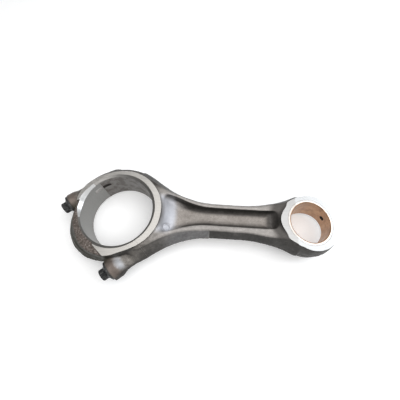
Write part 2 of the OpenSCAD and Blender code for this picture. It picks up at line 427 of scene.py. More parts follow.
def lathe(profile, segments, centre=(0, 0), matrix=None):
    """Closed solid round Z from a closed loop of (radius, z), where either may be an array of one value
    for each segment. A plain radius of 0 makes a pole."""
    a = np.linspace(0, 2 * math.pi, segments, endpoint=False)
    verts = []
    rings = []
    for r, z in profile:
        if np.isscalar(r) and r <= 0:
            rings.append([len(verts)] * segments)
            verts.append((centre[0], centre[1], z))
            continue
        rings.append(list(range(len(verts), len(verts) + segments)))
        row = np.broadcast_arrays(centre[0] + r * np.cos(a), centre[1] + r * np.sin(a), z)
        verts.extend(zip(*(part.tolist() for part in row)))
    faces = []
    for p, q in zip(rings, rings[1:] + rings[:1]):
        for j in range(segments):
            k = (j + 1) % segments
            face = list(dict.fromkeys((p[j], p[k], q[k], q[j])))
            if len(face) > 2:
                faces.append(face)
    return moved((verts, faces), matrix) if matrix is not None else (verts, faces)


def prism(outline, axis, lo, hi):
    """Outline extruded along an axis: 'y' takes (x, z) pairs and 'z' takes (x, y) pairs."""
    n = len(outline)
    verts = []
    for level in (lo, hi):
        for a, b in outline:
            verts.append((a, level, b) if axis == "y" else (a, b, level))
    faces = [list(range(n))[::-1], list(range(n, 2 * n))]
    faces += [[i, (i + 1) % n, n + (i + 1) % n, n + i] for i in range(n)]
    return verts, faces


def fix_normals(obj):
    bm = bmesh.new()
    bm.from_mesh(obj.data)
    bmesh.ops.recalc_face_normals(bm, faces=bm.faces)
    bm.to_mesh(obj.data)
    bm.free()


def cut(target, name, verts, faces):
    """Takes a closed mesh away from the target."""
    tool = mm(name, verts, faces)
    fix_normals(tool)
    mod = target.modifiers.new(name, "BOOLEAN")
    mod.object = tool
    mod.operation = "DIFFERENCE"
    mod.solver = "MANIFOLD"
    deps = bpy.context.evaluated_depsgraph_get()
    result = bpy.data.meshes.new_from_object(target.evaluated_get(deps))
    target.modifiers.clear()
    old = target.data
    target.data = result
    bpy.data.meshes.remove(old)
    bpy.data.objects.remove(tool)


def joint_matrix():
    """The cap joint's frame: X out through the cap, Z along the bores."""
    return Matrix.Rotation(cap_a, 4, "Z")


def bolt_matrix(side):
    """A bolt's frame: Z runs out of the seat along the bolt."""
    return joint_matrix() @ Matrix.Translation((0, -side * BOLT_Y, 0)) @ Matrix.Rotation(math.pi / 2, 4, "Y")


def moved(data, matrix):
    verts, faces = data
    return [tuple(matrix @ Vector(v)) for v in verts], faces


def box_data(lo, hi):
    x0, y0, z0 = lo
    x1, y1, z1 = hi
    return prism([(x0, y0), (x1, y0), (x1, y1), (x0, y1)], "z", z0, z1)


def oil_matrix():
    """The oil hole's frame: Z runs out through the wall of the small end."""
    turn = Matrix.Rotation(OIL_ANGLE, 4, "Z") @ Matrix.Rotation(math.pi / 2, 4, "Y")
    return Matrix.Translation((CENTRE, 0, 0)) @ turn


def plug(r, lo, hi):
    """Profile of a plain cylinder for lathe()."""
    return [(0, lo), (r, lo), (r, hi), (0, hi)]


def face_planes(obj):
    """Machines both faces: flat round the big end, tapered at the small end."""
    end = CENTRE + 45
    drop = (end - KEY_X) * math.tan(KEYSTONE)
    for s in (1, -1):
        outline = [(-90, FACE_Z), (KEY_X, FACE_Z), (end, FACE_Z - drop), (end, 60), (-90, 60)]
        cut(obj, "face_tool", *prism([(x, s * z) for x, z in outline], "y", -100, 100))


def big_bore(obj, centre, slope):
    """Bore with a dressed chamfer, off the bore's centre so that its width changes round the edge."""
    cut(obj, "bore_tool", *lathe(plug(BIG_R, -30, 30), SEG))
    for s in (1, -1):
        z1, z2 = FACE_Z - 2.6, FACE_Z + 1.0
        r = BIG_R + 2.0
        cone = [(0, s * z1), (r - 2.6 * slope, s * z1), (r + slope, s * z2), (0, s * z2)]
        cut(obj, "chamfer_tool", *lathe(cone, SEG, centre=centre))


def half_space(obj, side):
    """Takes away one side of the parting plane, 1 for the cap's side, and leaves a hairline seam."""
    lo, hi = (-SEAM, 200) if side > 0 else (-400, SEAM)
    cut(obj, "split_tool", *moved(box_data((lo, -150, -60), (hi, 150, 60)), joint_matrix()))


def tang(obj, side):
    """Milled slot for a bearing tang; its floor is an arc, as a disc cutter leaves it."""
    r = (TANG_L ** 2 + TANG_DEPTH ** 2) / (2 * TANG_DEPTH)
    floor_y = -BIG_R - TANG_DEPTH
    open_y = -BIG_R + 3
    arc = [(side * x, floor_y + r - math.sqrt(r * r - x * x)) for x in np.linspace(0, TANG_L, 13)]
    outline = [(-side * 0.5, open_y), (-side * 0.5, floor_y)] + arc + [(side * TANG_L, open_y)]
    slot = prism(outline, "z", TANG_Z - TANG_W / 2, TANG_Z + TANG_W / 2)
    cut(obj, "tang_tool", *moved(slot, joint_matrix()))


def make_rod():
    """Rod body: the forging, then everything that is machined in it."""
    obj = mm("rod_forging", *field_mesh(rod_field, (-46, -58, 0), (CENTRE + 36, 58, 24), GRID))
    half_space(obj, 1)
    face_planes(obj)
    big_bore(obj, (0.57, 0.57), 1.6)
    cut(obj, "pin_tool", *lathe(plug(BUSH_R, -30, 30), SEG, centre=(CENTRE, 0)))
    oil = [(0, 10), (OIL_R, 10), (OIL_R, 29.2), (OIL_R + 3, 34), (0, 34)]
    cut(obj, "oil_tool", *lathe(oil, 40, matrix=oil_matrix()))
    tang(obj, -1)
    r = BOLT_D / 2
    hole = [(0, -26.5), (r, -24.5), (r, -0.6), (r + 1.2, 0.6), (0, 0.6)]
    for side in (1, -1):
        cut(obj, "thread_tool", *lathe(hole, 48, matrix=bolt_matrix(side)))
    return obj


def ledge_tool():
    """Wedge with a changing section that cuts the ledge beside the crown."""
    steps = 42
    inner = BIG_R - 3
    verts = []
    faces = []
    for i in range(steps + 1):
        deg = LEDGE_FROM + (LEDGE_TO - LEDGE_FROM) * i / steps
        t = math.radians(deg)
        line = float(ledge_line(deg))
        for r, z in ((inner, inner - line), (ROUGH_TOP + line, ROUGH_TOP), (inner, ROUGH_TOP)):
            verts.append((r * math.cos(t), r * math.sin(t), z))
    for i in range(0, 3 * steps, 3):
        for j in range(3):
            k = (j + 1) % 3
            faces.append([i + j, i + 3 + j, i + 3 + k, i + k])
    last = 3 * steps
    faces += [[0, 1, 2], [last + 2, last + 1, last]]
    return moved((verts, faces), joint_matrix())


def make_cap():
    """Cap: the forging, then everything that is machined in it."""
    obj = mm("cap_forging", *field_mesh(cap_field, (-66, -66, 0), (48, 56, 24), GRID * 0.85))
    half_space(obj, -1)
    face_planes(obj)
    cut(obj, "relief_tool", *ledge_tool())
    big_bore(obj, tuple(EC * 0.8), 1.3)
    tang(obj, 1)
    seat = [(0, SEAT), (11.6, SEAT), (12.4, SEAT + 0.8), (12.4, 75), (0, 75)]
    for side in (1, -1):
        cut(obj, "hole_tool", *lathe(plug(BOLT_D / 2 + 0.2, -5, 45), 48, matrix=bolt_matrix(side)))
        cut(obj, "seat_tool", *lathe(seat, 96, matrix=bolt_matrix(side)))
    return obj


def make_bush():
    """Sleeve whose ends follow the tapered faces, with a chamfer at each edge."""
    a = np.linspace(0, 2 * math.pi, SEG, endpoint=False)

    def end_z(r):
        return FACE_Z - np.maximum(CENTRE + r * np.cos(a) - KEY_X, 0) * math.tan(KEYSTONE)

    outer, inner = 0.35, 0.75
    end = [(BUSH_R, end_z(BUSH_R) - outer), (BUSH_R - outer, end_z(BUSH_R - outer)),
           (PIN_R + inner, end_z(PIN_R + inner)), (PIN_R, end_z(PIN_R) - inner)]
    profile = [(r, -z) for r, z in end] + end[::-1]
    obj = mm("bush_sleeve", *lathe(profile, SEG, centre=(CENTRE, 0)))
    fix_normals(obj)
    oil = [(0, 15), (OIL_R + 2.2, 18.4), (OIL_R, PIN_R + 0.55), (OIL_R, 28), (0, 28)]
    cut(obj, "oil_tool", *lathe(oil, 40, matrix=oil_matrix()))
    return obj


def bolt_head(a, turn):
    """Rings of the twelve-point head and its flange, from the top down; the seat is at z = 0."""
    head_r, notch_r, flange_r, top = 5.85, 5.2, 9.95, 9.95
    wave = np.abs(((a + turn) / (2 * math.pi) * 12) % 1 - 0.5) * 2
    star = notch_r + (head_r - notch_r) * np.clip((wave - 0.06) / 0.82, 0, 1)
    rings = [(0.0, top), (4.1, top), (np.minimum(star, 5.25), top), (np.minimum(star, 5.62), top - 0.2)]
    rings += [(star, z) for z in (9.3, 8.2, 6.9, 5.6)]
    rings += [(star + 0.25, 4.75), (star + 0.9, 4.25), (6.9, 3.75)]
    rings += [(flange_r * 0.86, 2.95), (flange_r * 0.965, 2.45), (flange_r, 2.0), (flange_r, 0.45)]
    return rings + [(flange_r - 0.45, 0.0)]


def bolt_shank(a):
    """Rings of the waisted shank and its rolled thread, from the seat down."""
    top = -SEAT - 1.5
    end = -SEAT - 23.0
    pitch, depth = 1.5, 0.82
    rings = [(6.0, 0.0), (5.1, -0.05), (4.75, -0.8)]
    rings += [(4.7, z) for z in np.linspace(-2.0, top, 6)]
    for z in np.arange(top - 0.7, end + 0.6, -pitch / 6):
        ridge = np.abs((z / pitch + a / (2 * math.pi)) % 1 - 0.5) * 2
        fade = min(1, (top - z) / 2.0, (z - end) / 1.6 + 0.2)
        rings.append((BOLT_D / 2 - 0.06 - depth * (1 - np.clip(ridge * 1.25 - 0.12, 0, 1)) * fade, z))
    return rings + [(4.2, end), (0.0, end)]


def make_bolt(name, side, turn):
    """Cap bolt; turn is the angle at which it came to rest when it was torqued."""
    segments = 144
    a = np.linspace(0, 2 * math.pi, segments, endpoint=False)
    matrix = bolt_matrix(side) @ Matrix.Translation((0, 0, SEAT))
    obj = mm(name, *lathe(bolt_head(a, turn) + bolt_shank(a), segments, matrix=matrix))
    fix_normals(obj)
    return obj


# ---------------------------------------------------------------- material tools
class Nodes:
    """Small helper to write a node tree in a few lines."""

    def __init__(self, name):
        self.mat = bpy.data.materials.new(name)
        self.mat.use_nodes = True
        self.tree = self.mat.node_tree
        self.tree.nodes.clear()
        self.out = self.tree.nodes.new("ShaderNodeOutputMaterial")
        self.bsdf = self.tree.nodes.new("ShaderNodeBsdfPrincipled")
        self.tree.links.new(self.bsdf.outputs[0], self.out.inputs[0])
        self.coord = self.tree.nodes.new("ShaderNodeTexCoord").outputs["Object"]

    def put(self, node, key, value):
        if isinstance(value, bpy.types.NodeSocket):
            self.tree.links.new(value, node.inputs[key])
        elif value is not None:
            node.inputs[key].default_value = value

    def mapping(self, scale, rotation):
        n = self.tree.nodes.new("ShaderNodeMapping")
        self.put(n, "Vector", self.coord)
        n.inputs["Scale"].default_value = scale
        n.inputs["Rotation"].default_value = rotation
        return n.outputs[0]

    def noise(self, scale, detail=3, rough=0.55, vector=None):
        n = self.tree.nodes.new("ShaderNodeTexNoise")
        self.put(n, "Vector", vector or self.coord)
        n.inputs["Scale"].default_value = scale
        n.inputs["Detail"].default_value = detail
        n.inputs["Roughness"].default_value = rough
        return n.outputs["Fac"]

    def cells(self, scale):
        n = self.tree.nodes.new("ShaderNodeTexVoronoi")
        self.put(n, "Vector", self.coord)
        n.inputs["Scale"].default_value = scale
        return n.outputs["Distance"]

    def ramp(self, fac, stops):
        n = self.tree.nodes.new("ShaderNodeValToRGB")
        self.put(n, "Fac", fac)
        while len(n.color_ramp.elements) < len(stops):
            n.color_ramp.elements.new(0.5)
        for e, (pos, col) in zip(n.color_ramp.elements, stops):
            e.position = pos
            e.color = (col, col, col, 1) if isinstance(col, (int, float)) else (*col, 1)
        return n.outputs[0]

    def tones(self, fac, dark, light):
        """Two-tone mottle."""
        return self.ramp(fac, [(0.34, dark), (0.66, light)])

    def math(self, op, a, b=None, clamp=False):
        n = self.tree.nodes.new("ShaderNodeMath")
        n.operation = op
        n.use_clamp = clamp
        self.put(n, 0, a)
        self.put(n, 1, b)
        return n.outputs[0]

    def mul(self, first, *others):
        for other in others:
            first = self.math("MULTIPLY", first, other)
        return first

    def add(self, a, b, clamp=False):
        return self.math("ADD", a, b, clamp)

    def sub(self, a, b):
        return self.math("SUBTRACT", a, b)

    def max(self, a, b):
        return self.math("MAXIMUM", a, b)

    def abs(self, a):
        return self.math("ABSOLUTE", a)

    def span(self, value, lo, hi, to_lo=0.0, to_hi=1.0):
        """Smooth step from to_lo at lo to to_hi at hi; lo may be the larger of the two."""
        n = self.tree.nodes.new("ShaderNodeMapRange")
        n.interpolation_type = "SMOOTHSTEP"
        self.put(n, "Value", value)
        for key, v in (("From Min", lo), ("From Max", hi), ("To Min", to_lo), ("To Max", to_hi)):
            n.inputs[key].default_value = v
        return n.outputs[0]

    def mix(self, fac, a, b, blend="MIX"):
        n = self.tree.nodes.new("ShaderNodeMix")
        n.data_type = "RGBA"
        n.blend_type = blend
        self.put(n, "Factor", fac)
        for key, v in ((6, a), (7, b)):
            if isinstance(v, bpy.types.NodeSocket):
                self.tree.links.new(v, n.inputs[key])
            else:
                n.inputs[key].default_value = (*v, 1)
        return n.outputs[2]

    def split(self, vector=None):
        n = self.tree.nodes.new("ShaderNodeSeparateXYZ")
        self.put(n, 0, vector or self.coord)
        return n.outputs

    def surface(self, key):
        """A value of the surface itself, such as its Normal or its Pointiness."""
        return self.tree.nodes.new("ShaderNodeNewGeometry").outputs[key]

    def bump(self, height, distance, strength=1.0, normal=None):
        n = self.tree.nodes.new("ShaderNodeBump")
        n.inputs["Strength"].default_value = strength
        n.inputs["Distance"].default_value = distance
        self.put(n, "Height", height)
        if normal is not None:
            self.put(n, "Normal", normal)
        return n.outputs[0]

    def radius(self, centre=(0.0, 0.0)):
        x, y, _ = self.split()
        dx = self.sub(x, centre[0])
        dy = self.sub(y, centre[1])
        return self.math("SQRT", self.add(self.mul(dx, dx), self.mul(dy, dy)))

    def angle(self, centre=(0.0, 0.0)):
        x, y, _ = self.split()
        return self.math("ARCTAN2", self.sub(y, centre[1]), self.sub(x, centre[0]))

    def join(self, x, y, z):
        n = self.tree.nodes.new("ShaderNodeCombineXYZ")
        self.put(n, 0, x)
        self.put(n, 1, y)
        self.put(n, 2, z)
        return n.outputs[0]

    def finish(self, color, metallic, roughness, normal=None, **more):
        self.put(self.bsdf, "Base Color", color if isinstance(color, bpy.types.NodeSocket) else (*color, 1))
        self.put(self.bsdf, "Metallic", metallic)
        self.put(self.bsdf, "Roughness", roughness)
        if normal is not None:
            self.put(self.bsdf, "Normal", normal)
        for key, v in more.items():
            self.bsdf.inputs[key.replace("_", " ")].default_value = v
        return self.mat


# ---------------------------------------------------------------- materials
def forging_places(m):
    """Where the forging's tints lie: position, mottle, and a mask for each of three regions: a painted
    reflection, a painted highlight and the crown.
    """
    x, y, z = m.split()
    height = m.abs(z)
    patch = m.noise(55, 5, 0.62)
    fine = m.noise(420, 4, 0.6)
    ec = m.add(m.mul(x, EC[0]), m.mul(y, EC[1]))
    ep = m.add(m.mul(x, EP[0]), m.mul(y, EP[1]))
    # the ramp between the big end and the web, where a bluish reflection is painted
    r = m.radius()
    cove_reflection = m.mul(m.span(r, 0.0435, 0.0485), m.span(r, 0.0620, 0.0560), m.span(x, 0.030, 0.038),
                 m.span(m.abs(y), 0.0225, 0.0150))
    # the lower ear's flare, where a lighter bluish highlight is painted
    shift = m.add(ec, m.mul(m.sub(m.noise(160, 3, 0.6), 0.5), 0.007))
    flare_highlight = m.mul(m.span(shift, 0.0195, 0.0245), m.span(shift, 0.0300, 0.0255),
                 m.span(ep, 0.036, 0.043), m.span(ep, 0.0540, 0.0470))
    crown = m.mul(m.span(ec, 0.018, 0.034), m.span(m.abs(ep), 0.040, 0.032))
    tone = m.add(m.mul(patch, 0.55), m.mul(fine, 0.45))
    return SimpleNamespace(x=x, y=y, height=height, patch=patch, fine=fine, tone=tone, ec=ec, ep=ep,
                           cove_reflection=cove_reflection, flare_highlight=flare_highlight, crown=crown)


def base_oxide(m, p, grit):
    """Mottled oxide, lighter on the shank than on the big end, with a fine grit and worn edges."""
    big = [(0.32, (0.098, 0.090, 0.080)), (0.5, (0.170, 0.157, 0.142)), (0.68, (0.275, 0.255, 0.232))]
    bar = [(0.32, (0.150, 0.140, 0.131)), (0.5, (0.262, 0.245, 0.232)), (0.68, (0.390, 0.367, 0.349))]
    color = m.mix(m.span(p.x, 0.030, 0.052), m.ramp(p.tone, big), m.ramp(p.tone, bar))
    color = m.mix(0.55, color, m.ramp(grit, [(0.36, 0.45), (0.5, 1.0), (0.66, 1.32)]), "MULTIPLY")
    worn = m.span(m.surface("Pointiness"), 0.51, 0.57)
    return m.mix(m.mul(worn, 0.4), color, (0.50, 0.48, 0.455))


def shank_tints(m, p, color):
    """Lighter lands and web, a painted bluish reflection on the ramp, painted shade in the pockets' feet,
    and a darker tone on the rib and at the small end.
    """
    ay = m.abs(p.y)
    land = m.mul(m.span(p.height, 0.0105, 0.0130), m.span(p.x, 0.030, 0.050))
    color = m.mix(m.mul(land, m.span(p.y, -0.012, 0.0, 0.22, 0.27)), color, (0.60, 0.56, 0.525))
    # painted reflection: the ramp is made lighter and bluish, as the light from the right makes it
    color = m.mix(m.mul(p.cove_reflection, 0.62), color, (0.64, 0.66, 0.72))
    web = m.mul(m.span(p.height, 0.0075, 0.0045), m.span(ay, 0.011, 0.007), m.span(p.x, 0.050, 0.062))
    color = m.mix(m.mul(web, 0.35), color, (0.36, 0.312, 0.272))
    reach = m.add(0.0122, m.mul(m.max(m.sub(0.090, p.x), 0.0), 0.30))
    # painted shade in the feet of the pockets, fading out at the pockets' ends
    pocket_foot_shade = m.mul(m.span(p.height, 0.0043, 0.0062), m.span(p.height, 0.0130, 0.0105),
                 m.span(m.sub(ay, reach), 0.0015, 0.0), m.span(p.x, 0.060, 0.070), m.span(p.x, 0.166, 0.148))
    # darker on the +Y side, over the rib
    rib = m.mul(m.span(p.y, 0.024, 0.032), 1.22)
    # darker near the small end
    small_end = m.add(m.radius((0.190, 0.004)), m.mul(m.sub(p.patch, 0.5), 0.006))
    # one dark colour for the pockets' painted shade and the darker rib and small end
    dark = m.max(m.max(pocket_foot_shade, rib), m.span(small_end, 0.0400, 0.0335))
    return m.mix(m.mul(dark, 0.76), color, (0.045, 0.040, 0.036))


def cap_tints(m, p, color):
    """Ears browner towards the seats, a painted bluish highlight on the lower ear's flare, and a crown with
    a brown and pinkish top.
    """
    brown = m.mul(m.span(p.ec, 0.024, 0.031), m.span(m.abs(p.ep), 0.033, 0.037))
    color = m.mix(m.mul(brown, 0.6), color,
                  m.ramp(p.patch, [(0.36, (0.105, 0.080, 0.066)), (0.64, (0.27, 0.21, 0.18))]))
    color = m.mix(m.mul(brown, m.span(p.ep, 0.0, 0.02), 0.4), color, (0.070, 0.054, 0.045))
    # painted highlight on the lower ear's flare
    color = m.mix(m.mul(p.flare_highlight, 0.62), color, (0.54, 0.555, 0.59))
    color = m.mix(m.mul(p.crown, 0.9), color, m.tones(p.tone, (0.028, 0.026, 0.018), (0.092, 0.085, 0.064)))
    blotch = [(0.36, (0.065, 0.052, 0.045)), (0.56, (0.165, 0.135, 0.12)), (0.72, (0.44, 0.39, 0.365))]
    top = m.mul(p.crown, m.span(p.height, 0.0164, 0.0174), 0.85)
    return m.mix(top, color, m.ramp(m.noise(700, 4, 0.7), blotch))


def side_shade_and_olive(m, p, color):
    """Painted shade on the steep sides, with a painted sheen on the lower flank up to the step in the flash
    and deeper painted shade past it; olive on the crown's side, and a light burr at the step.
    """
    step = STEP_X / MM
    # painted shade: the steep sides are darker, as light from above leaves them in shade; less of it on the
    # ramp's painted reflection and the ear's painted highlight
    nz = m.abs(m.split(m.surface("Normal"))[2])
    steep = m.span(m.add(nz, m.mul(m.sub(p.patch, 0.5), 0.35)), 0.80, 0.35)
    steep = m.mul(steep, m.sub(0.92, m.mul(p.cove_reflection, 0.75)), m.sub(1.0, m.mul(p.flare_highlight, 0.8)))
    # the colours of the painted shade on the steep sides
    scale = m.tones(p.tone, (0.018, 0.0168, 0.0152), (0.056, 0.0525, 0.048))
    under = m.span(p.y, -0.008, -0.014)
    # painted sheen: the lower flank is lighter up to the step in the flash
    flank_sheen = m.mul(m.span(p.x, 0.045, 0.062), m.span(p.x, step + 0.0004, step - 0.0005), under)
    scale = m.mix(flank_sheen, scale, m.tones(p.tone, (0.076, 0.075, 0.075), (0.185, 0.182, 0.185)))
    # painted shade: the lower flank is darker still past the step
    black = m.mul(m.span(p.x, step - 0.0005, step + 0.0004), m.span(p.x, 0.168, 0.150), under, 0.75)
    scale = m.mix(black, scale, (0.016, 0.0150, 0.0138))
    color = m.mix(steep, color, scale)
    olive = m.mul(p.crown, m.span(p.height, 0.0174, 0.0164), 0.8)
    color = m.mix(olive, color, m.tones(p.tone, (0.013, 0.0115, 0.005), (0.036, 0.032, 0.016)))
    burr = m.mul(m.span(m.abs(m.sub(p.x, step)), 0.0004, 0.0001), under, m.span(p.height, 0.013, 0.009), 0.4)
    return m.mix(burr, color, (0.50, 0.475, 0.45))


def forged_material(name):
    """Shot-blasted forging: oxide with a tint for each region, fine grain and small pits."""
    m = Nodes(name)
    p = forging_places(m)
    grit = m.noise(1500, 3, 0.65)
    color = base_oxide(m, p, grit)
    color = shank_tints(m, p, color)
    color = cap_tints(m, p, color)
    color = side_shade_and_olive(m, p, color)
    rough = m.ramp(m.noise(260, 3), [(0.3, 0.44), (0.7, 0.62)])
    normal = m.bump(m.add(m.mul(p.fine, 0.5), m.mul(grit, 0.35)), 0.00035, 0.55)
    normal = m.bump(m.ramp(m.cells(900), [(0.0, 0.0), (0.35, 1.0)]), 0.0001, 0.5, normal)
    return m.finish(color, 0.45, rough, normal, Specular_IOR_Level=0.3)


def tool_marks(m, lay):
    """Fine and broad marks: 'ring' for circular ones, 'line' for a straight lay, 'bore' for a bored wall."""
    if lay == "line":
        turn = (0, 0, math.radians(12))
        fine = m.mapping((300, 5200, 300), turn)
        broad = m.mapping((40, 900, 40), turn)
    else:
        _, _, z = m.split()
        a = m.angle()
        if lay == "ring":
            fine = m.join(m.mul(m.radius(), 5200), m.mul(a, 3), z)
            broad = m.join(m.mul(m.radius(), 900), m.mul(a, 2), z)
        else:
            fine = m.join(m.mul(a, 30), 0.0, m.mul(z, 5200))
            broad = m.join(m.mul(a, 26), 0.0, m.mul(z, 60))
    return m.noise(1.0, 2, 0.5, fine), m.noise(1.0, 3, 0.55 if lay == "bore" else 0.5, broad)


def machined_material(name, base, lay, metallic=0.85, rough=(0.26, 0.4), depth=1.0, stain_and_shade=0.0):
    """Machined steel with tool marks, cloudy tone and scratches; the last argument sets how much dark brown
    covers it: patches of old oil, and painted shade that grows towards +X.
    """
    m = Nodes(name)
    fine, broad = tool_marks(m, lay)
    tone = m.add(m.mul(broad, 0.5), m.mul(m.noise(60, 4, 0.6), 0.5))
    lo = tuple(c * 0.90 for c in base)
    hi = tuple(min(1, c * 1.07) for c in base)
    color = m.ramp(tone, [(0.36, lo), (0.64, hi)])
    color = m.mix(0.3, color, m.ramp(fine, [(0.3, 0.86), (0.6, 1.04)]), "MULTIPLY")
    if stain_and_shade:
        x, _, z = m.split()
        oil = m.noise(1.0, 4, 0.6, m.join(m.mul(m.angle(), 5.0), 0.0, m.mul(z, 130)))
        # patches of old oil, and painted shade that darkens the wall towards +X
        cover = m.add(m.span(oil, 0.44, 0.60, 0.0, 0.7), m.span(x, 0.006, 0.030, 0.0, 0.8), clamp=True)
        color = m.mix(m.mul(cover, stain_and_shade), color, (0.050, 0.037, 0.027))
    scratch = m.span(m.noise(1.0, 2, 0.5, m.mapping((1600, 90, 700), (0.2, 0.1, 0.7))), 0.70, 0.76)
    color = m.mix(m.mul(scratch, 0.25), color, tuple(c * 0.55 for c in base))
    r_out = m.ramp(tone, [(0.3, rough[0]), (0.7, rough[1])])
    return m.finish(color, metallic, r_out, m.bump(fine, 0.000008 * depth, 0.5))


def bronze_material(name):
    """Bored bronze lining on a steel back; the faced ends show the pale steel and a thin line of bronze."""
    m = Nodes(name)
    _, _, z = m.split()
    a = m.angle((CENTRE / MM, 0))
    fine = m.noise(1.0, 2, 0.5, m.join(m.mul(a, 12), 0.0, m.mul(z, 4200)))
    cloud = m.noise(120, 4, 0.65)
    lining = [(0.34, (0.32, 0.180, 0.105)), (0.52, (0.46, 0.275, 0.165)), (0.7, (0.60, 0.40, 0.245))]
    color = m.ramp(cloud, lining)
    r = m.radius((CENTRE / MM, 0))
    back = m.span(r, (PIN_R + 0.75) / MM, (PIN_R + 1.25) / MM)
    color = m.mix(back, color, m.tones(cloud, (0.50, 0.47, 0.44), (0.66, 0.63, 0.60)))
    color = m.mix(0.5, color, m.ramp(fine, [(0.3, 0.78), (0.62, 1.08)]), "MULTIPLY")
    rough = m.ramp(cloud, [(0.3, 0.30), (0.7, 0.42)])
    return m.finish(color, 0.75, rough, m.bump(fine, 0.00002, 0.5))


def black_oxide_material(name):
    """Black oxide, worn to bare steel here and there along the edges."""
    m = Nodes(name)
    cloud = m.noise(180, 4, 0.6)
    color = m.ramp(cloud, [(0.3, (0.016, 0.017, 0.017)), (0.7, (0.056, 0.058, 0.058))])
    wear = m.mul(m.span(m.surface("Pointiness"), 0.53, 0.62), m.span(m.noise(500, 3), 0.42, 0.6))
    color = m.mix(m.mul(wear, 0.7), color, (0.26, 0.25, 0.235))
    rough = m.ramp(m.noise(300, 3), [(0.3, 0.34), (0.7, 0.5)])
    return m.finish(color, 0.5, rough, m.bump(m.noise(1400, 3), 0.00012, 0.4))


def floor_material():
    """White paper that glows faintly, as an overexposed sheet does."""
    m = Nodes("floor_paper")
    grain = m.noise(90, 4, 0.6)
    color = m.ramp(grain, [(0.3, (0.925, 0.925, 0.925)), (0.7, (0.955, 0.955, 0.955))])
    return m.finish(color, 0.0, 0.9, m.bump(m.noise(600, 3), 0.00005, 0.3), Emission_Color=(1, 1, 1, 1),
                    Emission_Strength=0.18)


# ---------------------------------------------------------------- faces to materials
# Order of the materials on a forging
FORGED, THRUST, BORE, CHAMFER, SMALL_FACE, PLAIN, LEDGE, SLOT = range(8)


def polygon_arrays(obj):
    """Centres in millimetres and normals of an object's faces."""
    n = len(obj.data.polygons)
    c = np.empty(n * 3)
    nrm = np.empty(n * 3)
    obj.data.polygons.foreach_get("center", c)
    obj.data.polygons.foreach_get("normal", nrm)
    return c.reshape(-1, 3) * MM, nrm.reshape(-1, 3)


def finish_mesh(obj, angle):
    """Smooth shading, apart from edges sharper than the angle in degrees."""
    obj.data.shade_smooth()
    obj.data.set_sharp_from_angle(angle=math.radians(angle))


def paint(obj, mats, index):
    """Gives an object its materials, and each face the one that index names."""
    obj.data.materials.clear()
    for m in mats:
        obj.data.materials.append(m)
    obj.data.polygons.foreach_set("material_index", index.astype(np.int32))
    obj.data.update()


def machined_index(obj):
    """Material of each face of a forging, found from where the face lies and how it is turned."""
    c, n = polygon_arrays(obj)
    x, y, z = c.T
    az = np.abs(z)
    r = np.hypot(x, y)
    ec = c[:, :2] @ EC
    ep = c[:, :2] @ EP
    inward = -(x * n[:, 0] + y * n[:, 1]) / np.maximum(r, 1e-6)
    idx = np.full(len(c), FORGED)
    idx[(np.abs(n[:, 2]) > 0.995) & (az > FACE_Z - 0.02) & (r < 80)] = THRUST
    idx[(np.abs(r - BIG_R) < 0.12) & (inward > 0.9)] = BORE
    idx[(r < BIG_R + 3.2) & (az > FACE_Z - 2.4) & (inward > 0.4) & (inward < 0.9)] = CHAMFER
    slot = (np.abs(ep + BIG_R) < TANG_DEPTH + 0.6) & (np.abs(ec) < TANG_L + 0.1) & (r > BIG_R + 0.1)
    idx[slot & (np.abs(z - TANG_Z) < TANG_W / 2 + 0.05)] = SLOT
    parting = (np.abs(ec) < SEAM + 0.02) & (np.abs(n[:, :2] @ EC) > 0.98)
    idx[parting & (idx != SLOT)] = PLAIN
    return idx


def rod_index(obj):
    """The rod body also has a tapered face, a seat for the bush and an oil hole."""
    c, n = polygon_arrays(obj)
    x, y, z = c.T
    idx = machined_index(obj)
    on_key = np.abs(np.abs(z) - FACE_Z + np.maximum(x - KEY_X, 0) * math.tan(KEYSTONE)) < 0.03
    tapered = np.abs(n[:, 0] - math.sin(KEYSTONE)) < 0.03
    idx[on_key & (x > CENTRE - 60) & (np.abs(n[:, 2]) > 0.97) & ((x < KEY_X) | tapered)] = SMALL_FACE
    dx = x - CENTRE
    rs = np.hypot(dx, y)
    idx[np.abs(rs - BUSH_R) < 0.12] = PLAIN
    hole = np.abs(dx * math.sin(OIL_ANGLE) - y * math.cos(OIL_ANGLE)) < OIL_R + 0.05
    idx[hole & (np.abs(z) < OIL_R + 0.05) & (rs < 32) & (rs > BUSH_R) & (dx > 0) & (y > 0)] = PLAIN
    return idx


def cap_index(obj):
    """The cap also has the ledge, and a seat and a hole for each bolt."""
    c, n = polygon_arrays(obj)
    x, y, z = c.T
    r = np.hypot(x, y)
    ec = c[:, :2] @ EC
    ep = c[:, :2] @ EP
    idx = machined_index(obj)
    inward = -(x * n[:, 0] + y * n[:, 1]) / np.maximum(r, 1e-6)
    deg = np.degrees(np.arctan2(ep, ec))
    on_ledge = (np.abs(z - r + ledge_line(deg)) < 0.12) & (deg > LEDGE_FROM - 0.1) & (deg < LEDGE_TO + 0.1)
    idx[on_ledge & (n[:, 2] > 0.4) & (inward > 0.3) & (idx != SLOT)] = LEDGE
    for side in (1, -1):
        off = np.hypot(ep + side * BOLT_Y, z)
        idx[(off < 12.5) & (np.abs(ec - SEAT) < 0.03) & (n[:, :2] @ EC > 0.98)] = PLAIN
        idx[off < BOLT_D / 2 + 0.3] = PLAIN
    return idx


def bush_index(obj):
    """0 for the bronze and 1 for the wall of the oil hole."""
    c, n = polygon_arrays(obj)
    ca, sa = math.cos(OIL_ANGLE), math.sin(OIL_ANGLE)
    x, y = c[:, 0] - CENTRE, c[:, 1]
    off = np.hypot(y * ca - x * sa, c[:, 2])
    along = np.abs(n[:, 0] * ca + n[:, 1] * sa)
    return np.where((off < OIL_R + 0.9) & (x * ca + y * sa > 0) & (along < 0.9), 1, 0)


